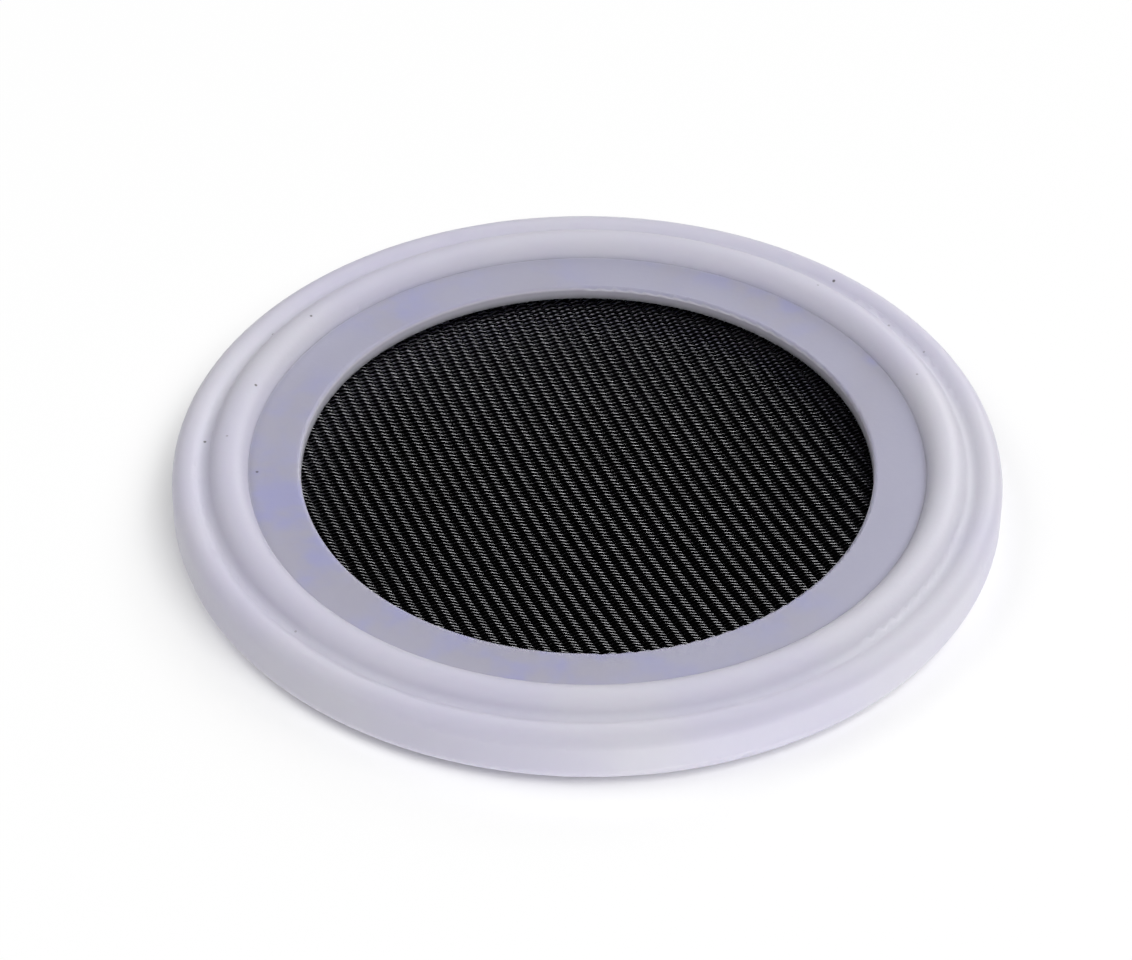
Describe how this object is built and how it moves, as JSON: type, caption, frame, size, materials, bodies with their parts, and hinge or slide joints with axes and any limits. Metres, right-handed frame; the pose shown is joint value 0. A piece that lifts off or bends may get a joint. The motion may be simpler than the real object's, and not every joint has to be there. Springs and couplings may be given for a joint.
{
  "type": "sanitary clamp screen gasket",
  "caption": "Round moulded gasket with a half-round sealing bead on both faces and a dished woven wire screen across its bore.",
  "frame": {"origin": "centre of the ring, on the mid plane between its two faces", "axes": "+Z along the pipe axis, out of the face that the screen's hollow side looks to"},
  "size_m": [0.0504, 0.0504, 0.0046],
  "materials": {
    "ring": "satin moulded white silicone rubber",
    "screen": "dark woven stainless steel wire cloth"
  },
  "bodies": {
    "root": {"moulded_ring": "ring", "woven_screen": "screen"}
  },
  "joints": []
}
